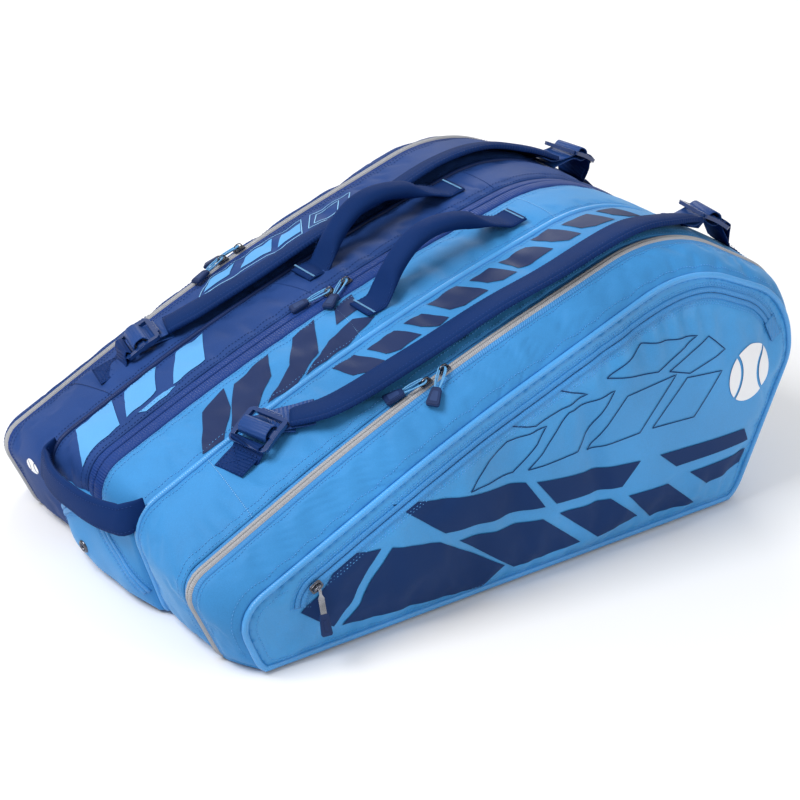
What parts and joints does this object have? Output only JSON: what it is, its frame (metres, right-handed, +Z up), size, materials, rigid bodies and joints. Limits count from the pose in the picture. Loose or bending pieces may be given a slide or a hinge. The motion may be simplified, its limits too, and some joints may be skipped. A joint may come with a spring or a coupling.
{
  "type": "racket tournament bag",
  "caption": "Long racket bag with side-by-side compartments, an arched top with zips, side pocket panels, carry and grab handles, shoulder straps and buckles.",
  "frame": {"origin": "middle of the flat base, on the surface it stands on", "axes": "+X along the bag to the tall racket-head end, -Y to the light blue side, +Z up"},
  "size_m": [0.8016, 0.5508, 0.3482],
  "materials": {
    "base_fabric": "woven, dull",
    "lining": "smooth lining",
    "navy_fabric": "woven polyester, slight sheen",
    "blue_fabric": "woven polyester, slight sheen",
    "light_piping": "satin piping",
    "dark_piping": "satin piping",
    "navy_tape": "woven tape",
    "dark_coil": "satin",
    "silver_zip": "satin",
    "pocket_zip": "reversed zip tape",
    "eyelet_metal": "dark, polished",
    "strap_fabric": "mesh-backed webbing",
    "webbing": "ribbed webbing",
    "buckle_plastic": "satin moulded",
    "handle_fabric": "soft padded fabric",
    "zip_metal": "gunmetal",
    "puller_metal": "gunmetal",
    "pull_rubber": "moulded rubber"
  },
  "bodies": {
    "core": {"base_panel": "base_fabric", "near_divider": "lining", "far_divider": "lining", "mid_near_band": "blue_fabric", "mid_far_band": "navy_fabric", "near_inner_band": "blue_fabric", "far_inner_band": "navy_fabric", "near_piping": "light_piping", "far_piping": "dark_piping", "mid_zip_tape": "navy_tape", "mid_zip_coil": "dark_coil", "near_zip_inner": "silver_zip", "far_zip_inner": "silver_zip", "end_pocket": "blue_fabric", "end_pocket_zip": "pocket_zip", "vent_eyelet": "eyelet_metal", "near_strap_pad": "strap_fabric", "far_strap_pad": "strap_fabric", "near_front_anchor": "webbing", "near_rear_anchor": "webbing", "far_front_anchor": "webbing", "far_rear_anchor": "webbing", "near_front_buckle": "buckle_plastic", "near_rear_buckle": "buckle_plastic", "far_front_buckle": "buckle_plastic", "far_rear_buckle": "buckle_plastic", "handle_patches": "webbing"},
    "near_cover": {"near_outer_band": "blue_fabric", "near_side_wall": "lining", "near_pocket_panel": "blue_fabric", "near_panel_piping": "light_piping", "near_zip_outer": "silver_zip", "near_pocket_zip": "pocket_zip"},
    "far_cover": {"far_outer_band": "navy_fabric", "far_side_wall": "lining", "far_pocket_panel": "navy_fabric", "far_panel_piping": "dark_piping", "far_zip_outer": "silver_zip", "far_pocket_zip": "pocket_zip"},
    "near_handle": {"near_carry_handle": "handle_fabric"},
    "far_handle": {"far_carry_handle": "handle_fabric"},
    "grab": {"grab_handle": "handle_fabric"},
    "near_slider_front": {"near_slider_front": "zip_metal"},
    "near_slider_rear": {"near_slider_rear": "zip_metal"},
    "near_pull_front": {"near_pull_front": "pull_rubber"},
    "near_pull_rear": {"near_pull_rear": "pull_rubber"},
    "far_slider_front": {"far_slider_front": "zip_metal"},
    "far_slider_rear": {"far_slider_rear": "zip_metal"},
    "far_pull_front": {"far_pull_front": "pull_rubber"},
    "far_pull_rear": {"far_pull_rear": "pull_rubber"},
    "mid_slider_front": {"mid_slider_front": "zip_metal"},
    "mid_slider_rear": {"mid_slider_rear": "zip_metal"},
    "mid_pull_front": {"mid_pull_front": "pull_rubber"},
    "mid_pull_rear": {"mid_pull_rear": "pull_rubber"},
    "near_pocket_slider": {"near_pocket_slider": "zip_metal"},
    "near_pocket_pull": {"near_pocket_pull": "puller_metal"},
    "far_pocket_slider": {"far_pocket_slider": "zip_metal"},
    "far_pocket_pull": {"far_pocket_pull": "puller_metal"}
  },
  "joints": [
    {"name": "near_cover_hinge", "type": "hinge", "parent": "core", "child": "near_cover", "pos_m": [0, -0.24, 0.003], "axis": [1, 0, 0], "range_deg": [0, 70]},
    {"name": "far_cover_hinge", "type": "hinge", "parent": "core", "child": "far_cover", "pos_m": [0, 0.24, 0.003], "axis": [-1, 0, 0], "range_deg": [0, 70]},
    {"name": "near_handle_fold", "type": "hinge", "parent": "core", "child": "near_handle", "pos_m": [-0.062, -0.055, 0.266], "axis": [0.9638, 0, 0.2665], "range_deg": [-31, 31]},
    {"name": "far_handle_fold", "type": "hinge", "parent": "core", "child": "far_handle", "pos_m": [-0.062, 0.055, 0.266], "axis": [-0.9638, 0, -0.2665], "range_deg": [-31, 31]},
    {"name": "grab_handle_lift", "type": "hinge", "parent": "core", "child": "grab", "pos_m": [-0.387, 0, 0.116], "axis": [0, 1, 0], "range_deg": [0, 60]},
    {"name": "near_slider_front_run", "type": "hinge", "parent": "near_cover", "child": "near_slider_front", "pos_m": [0.72013, -0.193, -1.80988], "axis": [0, 1, 0], "range_deg": [0, 3.91]},
    {"name": "near_slider_rear_run", "type": "hinge", "parent": "near_cover", "child": "near_slider_rear", "pos_m": [0.72013, -0.193, -1.80988], "axis": [0, 1, 0], "range_deg": [-4.64, 0]},
    {"name": "near_pull_front_flip", "type": "hinge", "parent": "near_slider_front", "child": "near_pull_front", "pos_m": [-0.08009, -0.19364, 0.2471], "axis": [-0.6361, 0.7697, 0.0531], "range_deg": [0, 65]},
    {"name": "near_pull_rear_flip", "type": "hinge", "parent": "near_slider_rear", "child": "near_pull_rear", "pos_m": [-0.10217, -0.19364, 0.23838], "axis": [0.1742, 0.9609, 0.2155], "range_deg": [0, 65]},
    {"name": "far_slider_front_run", "type": "hinge", "parent": "far_cover", "child": "far_slider_front", "pos_m": [0.72013, 0.193, -1.80988], "axis": [0, 1, 0], "range_deg": [0, 3.91]},
    {"name": "far_slider_rear_run", "type": "hinge", "parent": "far_cover", "child": "far_slider_rear", "pos_m": [0.72013, 0.193, -1.80988], "axis": [0, 1, 0], "range_deg": [-4.64, 0]},
    {"name": "far_pull_front_flip", "type": "hinge", "parent": "far_slider_front", "child": "far_pull_front", "pos_m": [-0.08009, 0.19364, 0.2471], "axis": [0.6361, 0.7697, -0.0531], "range_deg": [0, 65]},
    {"name": "far_pull_rear_flip", "type": "hinge", "parent": "far_slider_rear", "child": "far_pull_rear", "pos_m": [-0.10217, 0.19364, 0.23838], "axis": [-0.1742, 0.9609, -0.2155], "range_deg": [0, 65]},
    {"name": "mid_slider_front_run", "type": "hinge", "parent": "core", "child": "mid_slider_front", "pos_m": [0.61619, 0, -1.82803], "axis": [0, 1, 0], "range_deg": [0, 3.91]},
    {"name": "mid_slider_rear_run", "type": "hinge", "parent": "core", "child": "mid_slider_rear", "pos_m": [0.61619, 0, -1.82803], "axis": [0, 1, 0], "range_deg": [-4.64, 0]},
    {"name": "mid_pull_front_flip", "type": "hinge", "parent": "mid_slider_front", "child": "mid_pull_front", "pos_m": [-0.06629, 0, 0.27122], "axis": [-0.4465, 0.8829, -0.1451], "range_deg": [0, 65]},
    {"name": "mid_pull_rear_flip", "type": "hinge", "parent": "mid_slider_rear", "child": "mid_pull_rear", "pos_m": [-0.08736, 0, 0.26425], "axis": [0.2293, 0.9703, 0.0771], "range_deg": [0, 65]},
    {"name": "near_pocket_slider_run", "type": "hinge", "parent": "near_cover", "child": "near_pocket_slider", "pos_m": [0.62916, -0.24803, -1.52503], "axis": [0, 1, 0], "range_deg": [0, 11.8]},
    {"name": "near_pocket_pull_flip", "type": "hinge", "parent": "near_pocket_slider", "child": "near_pocket_pull", "pos_m": [-0.27367, -0.25571, 0.08797], "axis": [-0.9788, 0.2034, -0.0244], "range_deg": [0, 45]},
    {"name": "far_pocket_slider_run", "type": "hinge", "parent": "far_cover", "child": "far_pocket_slider", "pos_m": [0.62916, 0.24803, -1.52503], "axis": [0, 1, 0], "range_deg": [0, 11.8]},
    {"name": "far_pocket_pull_flip", "type": "hinge", "parent": "far_pocket_slider", "child": "far_pocket_pull", "pos_m": [-0.27367, 0.25571, 0.08797], "axis": [0.9788, 0.2034, 0.0244], "range_deg": [0, 45]}
  ]
}
